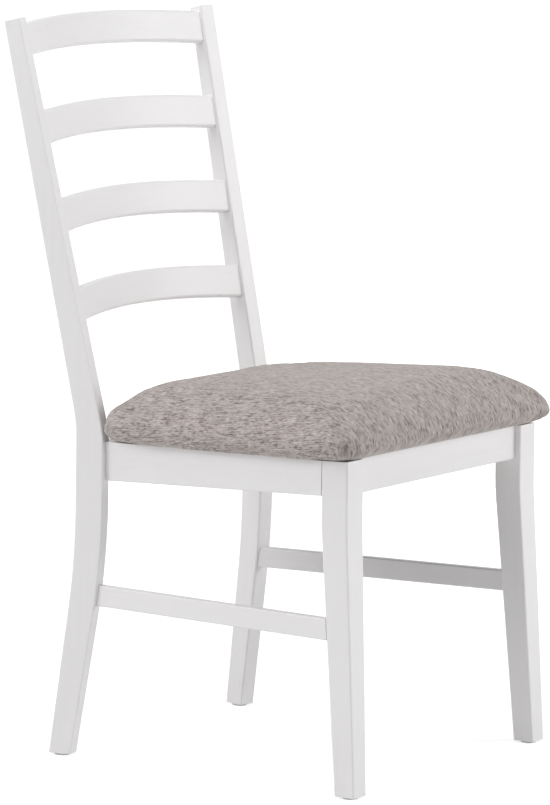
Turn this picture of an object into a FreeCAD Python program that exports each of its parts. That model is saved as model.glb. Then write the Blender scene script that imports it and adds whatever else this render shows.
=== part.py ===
import FreeCAD, Part
import os
from math import asin, atan2, cos, degrees, hypot, radians, sin, sqrt, tan

import Sketcher
from FreeCAD import Placement, Rotation, Vector

# Ladderback dining chair: painted hardwood frame, four bowed back slats and an upholstered seat.
# Frame of the model: +Z up, the floor at Z = 0, the sitter faces -Y, the sitter's left is +X,
# and the origin lies on the floor under the middle of the chair.
# The left half is drawn and jointed; its right-hand twins are mirrored from it.

os.makedirs("parts", exist_ok=True)
doc = FreeCAD.newDocument("ladderback_chair")

# Driving dimensions, millimetres and degrees, written once and kept in the sheet.
# Heights are above the floor, depths are behind the front faces of the front legs at seat level.
SIZES = [
    # back posts: flat bent boards, turned inward to follow the bow of the slats
    ("ChairHeight", 960),
    ("PostSpread", 406),
    ("PostStation", 392.5),
    ("PostWidth", 24),
    ("PostSeatDepth", 38.4),
    ("PostFootDepth", 31),
    ("PostTopDepth", 22.5),
    ("PostFootSweep", 41),
    ("PostTopSweep", 122),
    ("PostToe", 14.5),
    ("PostLean", 0.82),
    ("PostLeanHeight", 330),
    ("FrontBendHeight", 425),
    ("RearBendHeight", 438),
    ("LegBendHeight", 260),
    ("BackBendRadius", 200),
    ("LegBendRadius", 1000),
    # front legs: square at the seat, tapered on every face below it
    ("FrontSpread", 466),
    ("LegWidth", 39),
    ("LegDepth", 38.5),
    ("LegFootWidth", 30),
    ("LegFootDepth", 29.7),
    ("LegFootSplay", 4.7),
    ("LegFootSweep", 18.8),
    ("LegTaperHeight", 343),
    ("LegTaperBlend", 14),
    # seat frame: its top slopes down to the back
    ("SeatHeight", 427),
    ("SeatSlope", 1.77),
    ("RailThickness", 20),
    ("FrontRailHeight", 45),
    ("FrontRailSetback", 8),
    ("SideRailFrontHeight", 45),
    ("SideRailBackHeight", 51),
    ("SideRailInset", 10),
    ("BackRailHeight", 50),
    ("BackRailSetback", 3),
    # side stretchers
    ("StretcherTop", 227),
    ("StretcherHeight", 28),
    ("StretcherThickness", 13),
    ("StretcherInset", 6),
    ("StretcherTenon", 14),
    ("StretcherTenonThickness", 8),
    ("StretcherTenonShoulder", 4),
    # back slats
    ("SlatHeight", 44),
    ("SlatThickness", 15),
    ("SlatBow", 28.5),
    ("SlatArch", 13),
    ("SlatSetback", 3.3),
    ("SlatPitch", 113.8),
    ("TopSlatDrop", 6.5),
    ("SlatTenon", 12),
    ("SlatTenonThickness", 8),
    ("SlatTenonShoulder", 5),
    # joints and fasteners
    ("DowelDiameter", 8),
    ("DowelLength", 40),
    ("DowelSpacing", 24),
    ("DowelStagger", 5.5),
    ("DowelOffset", 7),
    ("JointClearance", 0.1),
    ("JointEndGap", 1),
    ("BlockHeight", 24),
    ("BlockDrop", 4),
    ("BlockGrip", 16),
    ("FrontBlockReach", 54),
    ("BackBlockReach", 60),
    ("BlockScrewStation", 34),
    ("BlockScrewDiameter", 4),
    ("BlockScrewLength", 34),
    ("BlockScrewHead", 8),
    ("ScrewHeadHeight", 2.4),
    ("ScrewHeadClearance", 0.5),
    ("SeatScrewDiameter", 4.5),
    ("SeatScrewLength", 32),
    ("SeatScrewHead", 9),
    ("SeatScrewSink", 4),
    ("FrontSeatScrewAside", 6),
    ("FrontSeatScrewBehind", 16),
    ("BackSeatScrewAside", 14),
    ("BackSeatScrewAhead", 21),
    # upholstered seat
    ("BoardThickness", 12),
    ("BoardInset", 5),
    ("BoardCorner", 22),
    ("CoverThickness", 1.2),
    ("CoverEdge", 2.8),
    ("CoverTuck", 31),
    ("LiningInset", 33),
    ("LiningThickness", 0.6),
    ("PadHeight", 83),
    ("PadBulge", 19.2),
    ("PadBackBulge", 3.5),
    ("PadBackGap", 4),
    ("PadCrownInset", 120),
    # edges and feet
    ("EdgeRadius", 2.5),
    ("SlatEdgeRadius", 4),
    ("EndEase", 1.5),
    ("GlideDiameter", 20),
    ("GlideHeight", 3),
    ("GlideEase", 0.8),
    ("GlidePin", 2.4),
    ("GlidePinLength", 14),
]

# Closeness within which a corner counts as lying on a plane.
NEAR = 0.01

sheet = doc.addObject("Spreadsheet::Sheet", "Sizes")
size = {}


def keep(name, value):
    """Put a size in the sheet: its name in column A, its value in column B under that alias."""
    size[name] = float(value)
    line = len(size)
    sheet.set(f"A{line}", name)
    sheet.set(f"B{line}", f"{float(value):.6f}")
    sheet.setAlias(f"B{line}", name)
    sheet.recompute()
    sheet.purgeTouched()


for size_name, size_value in SIZES:
    keep(size_name, size_value)

# Sizes worked out from the driving ones

seat_slope = radians(size["SeatSlope"])
post_toe = radians(size["PostToe"])
post_rise = size["ChairHeight"] - size["FrontBendHeight"]
post_rake = atan2(size["PostTopSweep"], post_rise)

keep("PostHalfWidth", size["PostWidth"] / 2)
keep("PostTopRear", size["PostTopSweep"] + size["PostTopDepth"] * cos(post_rake))
keep("PostTopRearHeight", size["ChairHeight"] - size["PostTopDepth"] * sin(post_rake))
keep("PostFootRear", size["PostFootSweep"] + size["PostFootDepth"])
keep("LegOuter", size["FrontSpread"] / 2)
keep("LegInner", size["LegOuter"] - size["LegWidth"])
keep("LegFootOuter", size["LegOuter"] + size["LegFootSplay"])
keep("LegFootInner", size["LegFootOuter"] - size["LegFootWidth"])
keep("LegFootFront", -size["LegFootSweep"])
keep("LegFootRear", size["LegFootDepth"] - size["LegFootSweep"])
keep("SeatFar", size["SeatHeight"] - size["ChairHeight"] * tan(seat_slope))
keep("CutReach", 2 * size["ChairHeight"])
keep("FrontRailRear", size["FrontRailSetback"] + size["RailThickness"])
keep("FrontRailLow", size["SeatHeight"] - size["FrontRailHeight"])
keep("DowelRadius", size["DowelDiameter"] / 2)
keep("DowelBoreRadius", size["DowelRadius"] + size["JointClearance"])
keep("DowelBoreLength", size["DowelLength"] + 2 * size["JointEndGap"])
keep("GlideRadius", size["GlideDiameter"] / 2)
keep("GlidePinRadius", size["GlidePin"] / 2)


def bound(obj, **expressions):
    """Tie an object's sizes to the sheet."""
    for prop, name in expressions.items():
        obj.setExpression(prop, f"Sizes.{name}")
    return obj


def worth(name):
    """The value behind a signed name of the sheet, or a plain zero."""
    if not isinstance(name, str):
        return float(name)
    return -size[name[1:]] if name.startswith("-") else size[name]


def written(name):
    """The expression behind a signed name of the sheet."""
    return f"-Sizes.{name[1:]}" if name.startswith("-") else f"Sizes.{name}"


def new_sketch(body, label, role, lift=None):
    """A sketch on one of a body's own planes, lifted by a size if one is given."""
    sketch = body.newObject("Sketcher::SketchObject", label)
    plane = next(item for item in body.Origin.OriginFeatures if item.Role == role)
    sketch.AttachmentSupport = [(plane, "")]
    sketch.MapMode = "FlatFace"
    if lift is not None:
        sketch.AttachmentOffset = Placement(Vector(0, 0, worth(lift)), Rotation())
        sketch.setExpression("AttachmentOffset.Base.z", written(lift))
    return sketch


def pin(sketch, geometry, vertex, across, up):
    """Hold a sketch point at its two coordinates: on an axis, or at a size of the sheet."""
    for kind, axis, name in (("DistanceX", -2, across), ("DistanceY", -1, up)):
        if not isinstance(name, str):
            sketch.addConstraint(Sketcher.Constraint("PointOnObject", geometry, vertex, axis))
            continue
        held = sketch.addConstraint(
            Sketcher.Constraint(kind, -1, 1, geometry, vertex, worth(name))
        )
        sketch.setExpression(f"Constraints[{held}]", written(name))


def draw_outline(sketch, corners, bows=None, construction=False):
    """A closed outline through corners given as pairs of names of the sheet.

    A side listed in bows is an arc over the middle: its radius and the height of its crown."""
    bows = bows or {}
    first = sketch.GeometryCount
    count = len(corners)
    points = [Vector(worth(across), worth(up), 0) for across, up in corners]
    starts = []
    for place in range(count):
        start, end = points[place], points[(place + 1) % count]
        if place in bows:
            line = Part.Arc(start, Vector(0, worth(bows[place][1]), 0), end)
        else:
            line = Part.LineSegment(start, end)
        drawn = sketch.addGeometry(line, construction)
        forward = sketch.getPoint(drawn, 1).distanceToPoint(start) < NEAR
        starts.append(1 if forward else 2)
    for place in range(count):
        after = (place + 1) % count
        sketch.addConstraint(
            Sketcher.Constraint(
                "Coincident", first + place, 3 - starts[place], first + after, starts[after]
            )
        )
    for place, (across, up) in enumerate(corners):
        pin(sketch, first + place, starts[place], across, up)
    for place, (radius, _) in bows.items():
        held = sketch.addConstraint(
            Sketcher.Constraint("Radius", first + place, worth(radius))
        )
        sketch.setExpression(f"Constraints[{held}]", written(radius))
    return first


def padded_outline(name, role, corners, length, bows=None, lift=None, symmetric=False):
    """A body padded from one closed outline."""
    body = doc.addObject("PartDesign::Body", name)
    sketch = new_sketch(body, f"{name}_outline", role, lift)
    draw_outline(sketch, corners, bows)
    pad = body.newObject("PartDesign::Pad", f"{name}_pad")
    pad.Profile = sketch
    bound(pad, Length=length)
    if symmetric:
        pad.SideType = "Symmetric"
    doc.recompute()
    return body


def cut_through(body, name, role, loops):
    """Cut closed outlines right through a body, both ways."""
    sketch = new_sketch(body, f"{name}_outline", role)
    for corners, bows in loops:
        draw_outline(sketch, corners, bows)
    pocket = body.newObject("PartDesign::Pocket", name)
    pocket.Profile = sketch
    pocket.Type = "ThroughAll"
    pocket.SideType = "Symmetric"
    doc.recompute()


def rounded_outline(sketch, corners, radius):
    """A four-sided outline with rounded corners, its sides along a drawn frame."""
    frame = draw_outline(sketch, corners, construction=True)
    points = [Vector(worth(across), worth(up), 0) for across, up in corners]
    count = len(points)
    reach = worth(radius)
    trims = []
    for place in range(count):
        back = (points[place - 1] - points[place]).normalize()
        onward = (points[(place + 1) % count] - points[place]).normalize()
        half = back.getAngle(onward) / 2
        run = reach / tan(half)
        middle = (back + onward).normalize()
        centre = points[place] + middle * (reach / sin(half))
        trims.append(
            (points[place] + back * run, centre - middle * reach, points[place] + onward * run)
        )
    sides = []
    for place in range(count):
        start, end = trims[place][2], trims[(place + 1) % count][0]
        sides.append(sketch.addGeometry(Part.LineSegment(start, end), False))
    for place in range(count):
        arc = sketch.addGeometry(Part.Arc(*trims[place]), False)
        before, after = sides[place - 1], sides[place]
        sketch.addConstraint(Sketcher.Constraint("Tangent", before, 2, arc, 1))
        sketch.addConstraint(Sketcher.Constraint("Tangent", arc, 2, after, 1))
        held = sketch.addConstraint(Sketcher.Constraint("Radius", arc, reach))
        sketch.setExpression(f"Constraints[{held}]", written(radius))
    for place in range(count):
        for end in (1, 2):
            sketch.addConstraint(
                Sketcher.Constraint("PointOnObject", sides[place], end, frame + place)
            )


def lofted(name, sections):
    """A body lofted through rounded outlines, each with its height, corners and radius."""
    body = doc.addObject("PartDesign::Body", name)
    sketches = []
    for place, (height, corners, radius) in enumerate(sections):
        sketch = new_sketch(body, f"{name}_section_{place + 1}", "XY_Plane", height)
        rounded_outline(sketch, corners, radius)
        sketches.append(sketch)
    loft = body.newObject("PartDesign::AdditiveLoft", f"{name}_loft")
    loft.Profile = sketches[0]
    loft.Sections = sketches[1:]
    loft.Ruled = True
    doc.recompute()
    return body


def round_edges(body, name, radius, wanted):
    """Round the edges of a body that the test picks."""
    base = body.Tip
    picked = [f"Edge{n + 1}" for n, edge in enumerate(base.Shape.Edges) if wanted(edge)]
    fillet = body.newObject("PartDesign::Fillet", name)
    fillet.Base = (base, picked)
    bound(fillet, Radius=radius)
    doc.recompute()


def spans(edge, axis, low, high):
    """Whether both ends of an edge lie between two values along an axis."""
    return all(low - NEAR <= vertex.Point[axis] <= high + NEAR for vertex in edge.Vertexes)


def crosses(edge, axis):
    """Whether an edge runs straight along an axis."""
    ends = [vertex.Point for vertex in edge.Vertexes]
    return len(ends) == 2 and abs(abs(ends[1][axis] - ends[0][axis]) - edge.Length) < NEAR


def cut_away(name, blank, tools):
    """A blank less everything that the tools take out of it."""
    tool = tools[0]
    if len(tools) > 1:
        tool = doc.addObject("Part::MultiFuse", f"{name}_cuts")
        tool.Shapes = tools
    cut = doc.addObject("Part::Cut", name)
    cut.Base = blank
    cut.Tool = tool
    return cut


def fused(name, members):
    fusion = doc.addObject("Part::MultiFuse", name)
    fusion.Shapes = members
    return fusion


def gathered(name, members):
    compound = doc.addObject("Part::Compound", name)
    compound.Links = members
    return compound


def mirrored(name, source):
    twin = doc.addObject("Part::Mirroring", name)
    twin.Source = source
    twin.Normal = Vector(1, 0, 0)
    twin.Base = Vector(0, 0, 0)
    return twin


def rod(name, radius, height, base, axis):
    """A cylinder from its base point along an axis."""
    cylinder = bound(doc.addObject("Part::Cylinder", name), Radius=radius, Height=height)
    cylinder.Placement = Placement(base, Rotation(ALONG_Z, axis))
    return cylinder


def about(axis, angle, point=Vector(0, 0, 0)):
    return Placement(point, Rotation(axis, angle))


def beyond(name, frame, depth=0.0):
    """A block that takes away all that lies past a plane, seen along the +Y of its frame."""
    block = doc.addObject("Part::Box", name)
    bound(block, Length="CutReach", Width="CutReach", Height="CutReach")
    half = size["CutReach"] / 2
    block.Placement = frame.multiply(Placement(Vector(-half, depth, -half), Rotation()))
    return block


def between(start, end, share):
    return start + (end - start) * share


def seat_at(depth):
    """Height of the sloping top of the seat frame."""
    return size["SeatHeight"] - depth * tan(seat_slope)


ALONG_X = Vector(1, 0, 0)
ALONG_Y = Vector(0, 1, 0)
ALONG_Z = Vector(0, 0, 1)
ABOVE_SEAT = (
    [
        (0, "SeatHeight"),
        ("ChairHeight", "SeatFar"),
        ("ChairHeight", "ChairHeight"),
        (0, "ChairHeight"),
    ],
    None,
)

# Back posts

toed = Rotation(ALONG_Z, -size["PostToe"])
pivot = Vector(0, 0, size["PostLeanHeight"])
leaned = Placement(pivot, Rotation(ALONG_Y, -size["PostLean"]))
post_corner = Vector(size["PostSpread"] / 2, size["PostStation"], 0)
post_middle = post_corner + toed.multVec(Vector(-size["PostHalfWidth"], 0, 0))
POST = Placement(post_middle, toed).multiply(leaned).multiply(Placement(-pivot, Rotation()))


def post_front(height):
    """Depth and slope of a post's front face at a height, in the post's own frame."""
    bend = atan2(size["PostFootSweep"], size["LegBendHeight"])
    down = size["LegBendHeight"] + size["LegBendRadius"] * tan(bend / 2) - height
    if down <= 0:
        return 0.0, 0.0
    if down < size["LegBendRadius"] * sin(bend):
        turn = asin(down / size["LegBendRadius"])
        return size["LegBendRadius"] * (1 - cos(turn)), degrees(turn)
    return (size["LegBendHeight"] - height) * tan(bend), degrees(bend)


def post_back_line(height):
    """Depth of the raked front face of a post above the seat, in the post's own frame."""
    return (height - size["FrontBendHeight"]) * tan(post_rake)


post_blank = padded_outline(
    "post_blank",
    "YZ_Plane",
    [
        ("PostFootSweep", 0),
        ("PostFootRear", 0),
        ("PostSeatDepth", "LegBendHeight"),
        ("PostSeatDepth", "RearBendHeight"),
        ("PostTopRear", "PostTopRearHeight"),
        ("PostTopSweep", "ChairHeight"),
        (0, "FrontBendHeight"),
        (0, "LegBendHeight"),
    ],
    "PostWidth",
    symmetric=True,
)
for bend_name, bend_radius, low_end, high_end in (
    ("leg_bend", "LegBendRadius", "LegBendHeight", "LegBendHeight"),
    ("back_bend", "BackBendRadius", "FrontBendHeight", "RearBendHeight"),
):
    bend_low, bend_high = size[low_end], size[high_end]
    round_edges(
        post_blank,
        bend_name,
        bend_radius,
        lambda edge: crosses(edge, 0) and spans(edge, 2, bend_low, bend_high),
    )
round_edges(
    post_blank,
    "post_edges",
    "EdgeRadius",
    lambda edge: not crosses(edge, 0)
    and not spans(edge, 2, 0, 0)
    and not spans(edge, 2, size["PostTopRearHeight"], size["ChairHeight"]),
)
round_edges(
    post_blank,
    "post_top_edges",
    "EndEase",
    lambda edge: spans(edge, 2, size["PostTopRearHeight"], size["ChairHeight"]),
)
post_blank.Placement = POST

inner_side = POST.multiply(about(ALONG_Z, -90, Vector(-size["PostHalfWidth"], 0, pivot.z)))
mortise_depth = size["SlatTenon"] + size["JointEndGap"]
slat_shoulder = beyond("slat_shoulder_left", inner_side)
slat_tenon_end = beyond("slat_tenon_end_left", inner_side, size["SlatTenon"])
slat_mortise_end = beyond("slat_mortise_end", inner_side, mortise_depth)
slat_shoulders = [slat_shoulder, mirrored("slat_shoulder_right", slat_shoulder)]
slat_tenon_ends = [slat_tenon_end, mirrored("slat_tenon_end_right", slat_tenon_end)]

# Front legs

blend = size["LegTaperBlend"]
taper_height = size["LegTaperHeight"]


def leg_taper(height):
    """Share of the taper reached at a height: none above the bend, all of it at the floor."""
    above = height - (taper_height - blend)
    if above <= 0:
        return (taper_height - height) / taper_height
    if above >= 2 * blend:
        return 0.0
    return (2 * blend - above) ** 2 / (4 * blend * taper_height)


leg_sections = []
for station, station_height in (
    ("Foot", 0),
    ("Low", taper_height - blend),
    ("Bend", taper_height),
    ("High", taper_height + blend),
    ("Top", size["SeatHeight"]),
):
    taken = leg_taper(station_height)
    keep(f"LegAt{station}Level", station_height)
    keep(f"LegAt{station}Outer", between(size["LegOuter"], size["LegFootOuter"], taken))
    keep(f"LegAt{station}Inner", between(size["LegInner"], size["LegFootInner"], taken))
    keep(f"LegAt{station}Front", between(0, size["LegFootFront"], taken))
    keep(f"LegAt{station}Rear", between(size["LegDepth"], size["LegFootRear"], taken))
    leg_sections.append(
        (
            f"LegAt{station}Level",
            [
                (f"LegAt{station}Inner", f"LegAt{station}Front"),
                (f"LegAt{station}Outer", f"LegAt{station}Front"),
                (f"LegAt{station}Outer", f"LegAt{station}Rear"),
                (f"LegAt{station}Inner", f"LegAt{station}Rear"),
            ],
            "EdgeRadius",
        )
    )
leg_blank = lofted("leg_blank", leg_sections)
cut_through(leg_blank, "leg_top_slope", "YZ_Plane", [ABOVE_SEAT])

# Side rails: from the back of a front leg to the front of a post

toe_across = Vector(-cos(post_toe), sin(post_toe), 0)
rail_start = Vector(size["LegOuter"], size["LegDepth"], 0)
rail_end = post_corner + toe_across * size["SideRailInset"]
rail_run = (rail_end - rail_start).normalize()
rail_inward = Vector(-rail_run.y, rail_run.x, 0)
inner_shift = rail_inward * size["RailThickness"]


def rail_side(depth, inward=0.0):
    """The point of a side rail's outer face, or of a line inside it, at a depth."""
    point = rail_start + rail_inward * inward
    return point + rail_run * ((depth - point.y) / rail_run.y)


def met(point, run, other, other_run):
    """Where two lines in plan cross."""
    gap = other - point
    share = (gap.x * other_run.y - gap.y * other_run.x) / (run.x * other_run.y - run.y * other_run.x)
    return point + run * share


rail_inner_start = rail_side(size["LegDepth"], size["RailThickness"])
rail_inner_end = met(rail_inner_start, rail_run, post_corner, toe_across)
keep("SideRailStartOuter", rail_start.x)
keep("SideRailStart", rail_start.y)
keep("SideRailStartInner", rail_inner_start.x)
keep("SideRailEndOuter", rail_end.x)
keep("SideRailEndOuterDepth", rail_end.y)
keep("SideRailEndInner", rail_inner_end.x)
keep("SideRailEndInnerDepth", rail_inner_end.y)
rail_low_start = seat_at(rail_start.y) - size["SideRailFrontHeight"]
rail_low_end = seat_at(rail_end.y) - size["SideRailBackHeight"]
rail_low_slope = (rail_low_end - rail_low_start) / (rail_end.y - rail_start.y)
keep("SideRailLow", rail_low_start - rail_low_slope * rail_start.y)
keep("SideRailLowFar", rail_low_start + rail_low_slope * (size["ChairHeight"] - rail_start.y))

side_rail_blank = padded_outline(
    "side_rail_blank",
    "XY_Plane",
    [
        ("SideRailStartInner", "SideRailStart"),
        ("SideRailStartOuter", "SideRailStart"),
        ("SideRailEndOuter", "SideRailEndOuterDepth"),
        ("SideRailEndInner", "SideRailEndInnerDepth"),
    ],
    "SeatHeight",
)
BELOW_RAIL = (
    [(0, 0), ("ChairHeight", 0), ("ChairHeight", "SideRailLowFar"), (0, "SideRailLow")],
    None,
)
cut_through(side_rail_blank, "side_rail_top_and_bottom", "YZ_Plane", [ABOVE_SEAT, BELOW_RAIL])
rail_middle_low = (rail_low_start + rail_low_end) / 2


def lower_edge(edge):
    """A long lower edge of a rail: its ends lie apart and under the middle of the rail."""
    ends = [vertex.Point for vertex in edge.Vertexes]
    under = max(end.z for end in ends) < rail_middle_low + size["SideRailFrontHeight"] / 2
    return under and edge.Length > 2 * size["RailThickness"]


round_edges(side_rail_blank, "side_rail_edges", "EdgeRadius", lower_edge)

# Front and back rails

front_rail_blank = padded_outline(
    "front_rail_blank",
    "XY_Plane",
    [
        ("-LegInner", "FrontRailSetback"),
        ("LegInner", "FrontRailSetback"),
        ("LegInner", "FrontRailRear"),
        ("-LegInner", "FrontRailRear"),
    ],
    "SeatHeight",
    lift="FrontRailLow",
)
cut_through(front_rail_blank, "front_rail_top", "YZ_Plane", [ABOVE_SEAT])
round_edges(front_rail_blank, "front_rail_edges", "EdgeRadius", lower_edge)

back_rail_front = post_corner.y + size["PostWidth"] * sin(post_toe) + size["BackRailSetback"]
keep("BackRailFront", back_rail_front)
keep("BackRailRear", back_rail_front + size["RailThickness"])
keep("BackRailLow", seat_at(back_rail_front) - size["BackRailHeight"])
back_rail_blank = padded_outline(
    "back_rail_blank",
    "XY_Plane",
    [
        ("-LegInner", "BackRailFront"),
        ("LegInner", "BackRailFront"),
        ("LegInner", "BackRailRear"),
        ("-LegInner", "BackRailRear"),
    ],
    "SeatHeight",
    lift="BackRailLow",
)
cut_through(back_rail_blank, "back_rail_top", "YZ_Plane", [ABOVE_SEAT])
round_edges(back_rail_blank, "back_rail_edges", "EdgeRadius", lower_edge)


# Dowels

def dowel_pair(name, joint, axis, shift=0.0):
    """Two dowels one above the other across a joint, and the bores that take them."""
    dowels, bores = [], []
    for place, rise in (("upper", 0.5), ("lower", -0.5)):
        middle = joint + ALONG_Z * (rise * size["DowelSpacing"] + shift)
        for kind, radius, length, kept in (
            ("dowel", "DowelRadius", "DowelLength", dowels),
            ("bore", "DowelBoreRadius", "DowelBoreLength", bores),
        ):
            base = middle - axis * (size[length] / 2)
            kept.append(rod(f"{name}_{place}_{kind}", radius, length, base, axis))
    return dowels, bores


front_joint = Vector(
    size["LegInner"],
    (size["FrontRailSetback"] + size["FrontRailRear"]) / 2,
    size["SeatHeight"] - size["FrontRailHeight"] / 2,
)
front_dowels, front_bores = dowel_pair("front_rail", front_joint, ALONG_X)

side_front_joint = rail_side(size["LegDepth"], size["RailThickness"] / 2)
side_front_joint.z = (seat_at(rail_start.y) + rail_low_start) / 2
side_front_dowels, side_front_bores = dowel_pair("side_rail_front", side_front_joint, ALONG_Y)

post_inward = POST.Rotation.multVec(ALONG_Y)
side_back_joint = rail_end + toe_across * size["DowelOffset"]
side_back_joint.z = (seat_at(rail_end.y) + rail_low_end) / 2
side_back_dowels, side_back_bores = dowel_pair(
    "side_rail_back", side_back_joint, post_inward, size["DowelStagger"]
)

back_level = size["BackRailLow"] + (seat_at(back_rail_front) - size["BackRailLow"]) / 2
back_joint_depth = (size["BackRailRear"] + back_rail_front) / 2
inner_edge = post_corner + toe_across * size["PostWidth"]
back_joint = Vector(
    inner_edge.x + (back_joint_depth - inner_edge.y) * tan(post_toe), back_joint_depth, back_level
)
back_dowels, back_bores = dowel_pair("back_rail", back_joint, ALONG_X, -size["DowelStagger"])

# Side stretchers: let into the backs of the front legs and the fronts of the posts

stretcher_level = size["StretcherTop"] - size["StretcherHeight"] / 2
leg_share = leg_taper(stretcher_level)
leg_rear = between(size["LegDepth"], size["LegFootRear"], leg_share)
leg_outer = between(size["LegOuter"], size["LegFootOuter"], leg_share)
leg_rear_lean = degrees(atan2(size["LegDepth"] - size["LegFootRear"], taper_height))
post_depth, post_slope = post_front(stretcher_level)
stretcher_across = size["PostHalfWidth"] - size["StretcherInset"]
stretcher_end = POST.multVec(Vector(stretcher_across, post_depth, stretcher_level))
stretcher_start = Vector(leg_outer, leg_rear, stretcher_level)
stretcher_run = stretcher_end - stretcher_start
stretcher_run.z = 0
stretcher_run.normalize()
stretcher_inward = Vector(-stretcher_run.y, stretcher_run.x, 0)
stretcher_turn = degrees(atan2(-stretcher_run.x, stretcher_run.y))
stretcher_middle = stretcher_start + stretcher_inward * (size["StretcherThickness"] / 2)
STRETCHER = about(ALONG_Z, stretcher_turn, stretcher_middle)
leg_back = about(ALONG_X, -leg_rear_lean, Vector(leg_outer, leg_rear, stretcher_level))
leg_back = leg_back.multiply(about(ALONG_Z, 180))
post_face = POST.multiply(about(ALONG_X, post_slope, Vector(0, post_depth, stretcher_level)))


def stretcher_piece(name, half_thickness, half_height, depth):
    """A board along the stretcher, ended at a depth inside the leg and the post."""
    board = padded_outline(
        f"{name}_board",
        "XZ_Plane",
        [
            (f"-{half_thickness}", f"-{half_height}"),
            (half_thickness, f"-{half_height}"),
            (half_thickness, half_height),
            (f"-{half_thickness}", half_height),
        ],
        "ChairHeight",
        symmetric=True,
    )
    if depth == 0:
        round_edges(board, f"{name}_edges", "EdgeRadius", lambda edge: crosses(edge, 1))
    board.Placement = STRETCHER
    ends = [
        beyond(f"{name}_front_end", leg_back, depth),
        beyond(f"{name}_back_end", post_face, depth),
    ]
    return cut_away(name, board, ends)


tenon_height = size["StretcherHeight"] / 2 - size["StretcherTenonShoulder"]
keep("StretcherHalfThickness", size["StretcherThickness"] / 2)
keep("StretcherHalfHeight", size["StretcherHeight"] / 2)
keep("StretcherTenonHalfThickness", size["StretcherTenonThickness"] / 2)
keep("StretcherTenonHalfHeight", tenon_height)
keep("MortiseHalfThickness", size["StretcherTenonHalfThickness"] + size["JointClearance"])
keep("MortiseHalfHeight", tenon_height + size["JointClearance"])
stretcher_body = stretcher_piece(
    "stretcher_body", "StretcherHalfThickness", "StretcherHalfHeight", 0
)
stretcher_tenons = stretcher_piece(
    "stretcher_tenons",
    "StretcherTenonHalfThickness",
    "StretcherTenonHalfHeight",
    size["StretcherTenon"],
)
stretcher_mortises = stretcher_piece(
    "stretcher_mortises",
    "MortiseHalfThickness",
    "MortiseHalfHeight",
    size["StretcherTenon"] + size["JointEndGap"],
)

# Back slats: bowed in plan and arched in elevation, drawn in a frame raked with the posts

slat_rake = degrees(atan2(post_inward.y * tan(post_rake), 1))
keep("SlatBlank", size["SlatHeight"] + 4 * size["SlatArch"])


def slat_band(name, key, span, front, back, trim):
    """A bowed and arched board: its faces stand off the bow line, its edges are trimmed."""
    bow, arch = size["SlatBow"], size["SlatArch"]
    bow_radius = (span ** 2 + bow ** 2) / (2 * bow)
    arch_radius = (span ** 2 + arch ** 2) / (2 * arch)
    reach = span + 2 * size["SlatTenon"]
    wide = reach + size["SlatTenon"]
    bow_centre = size["SlatSetback"] + bow - bow_radius
    half = size["SlatHeight"] / 2 - trim
    keep(f"{key}Reach", reach)
    keep(f"{key}Wide", wide)
    for face, offset in (("Front", front), ("Back", back)):
        radius = bow_radius + offset
        keep(f"{key}{face}Radius", radius)
        keep(f"{key}{face}End", bow_centre + sqrt(radius ** 2 - reach ** 2))
        keep(f"{key}{face}Middle", bow_centre + radius)
    keep(f"{key}ArchRadius", arch_radius)
    drop = arch - arch_radius + sqrt(arch_radius ** 2 - wide ** 2)
    keep(f"{key}TopEnd", half + drop)
    keep(f"{key}TopMiddle", half + arch)
    keep(f"{key}LowEnd", drop - half)
    keep(f"{key}LowMiddle", arch - half)
    band = padded_outline(
        name,
        "XY_Plane",
        [
            (f"-{key}Reach", f"{key}FrontEnd"),
            (f"{key}Reach", f"{key}FrontEnd"),
            (f"{key}Reach", f"{key}BackEnd"),
            (f"-{key}Reach", f"{key}BackEnd"),
        ],
        "SlatBlank",
        bows={
            0: (f"{key}FrontRadius", f"{key}FrontMiddle"),
            2: (f"{key}BackRadius", f"{key}BackMiddle"),
        },
        symmetric=True,
    )
    over = (
        [
            (f"-{key}Wide", f"{key}TopEnd"),
            (f"{key}Wide", f"{key}TopEnd"),
            (f"{key}Wide", "SlatBlank"),
            (f"-{key}Wide", "SlatBlank"),
        ],
        {0: (f"{key}ArchRadius", f"{key}TopMiddle")},
    )
    under = (
        [
            (f"-{key}Wide", "-SlatBlank"),
            (f"{key}Wide", "-SlatBlank"),
            (f"{key}Wide", f"{key}LowEnd"),
            (f"-{key}Wide", f"{key}LowEnd"),
        ],
        {2: (f"{key}ArchRadius", f"{key}LowMiddle")},
    )
    cut_through(band, f"{name}_arch", "XZ_Plane", [over, under])
    return band


def runs_along_slat(edge):
    ends = [vertex.Point.x for vertex in edge.Vertexes]
    return len(ends) == 2 and ends[0] * ends[1] < 0 and abs(ends[0] - ends[1]) > size["SlatHeight"]


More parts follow.
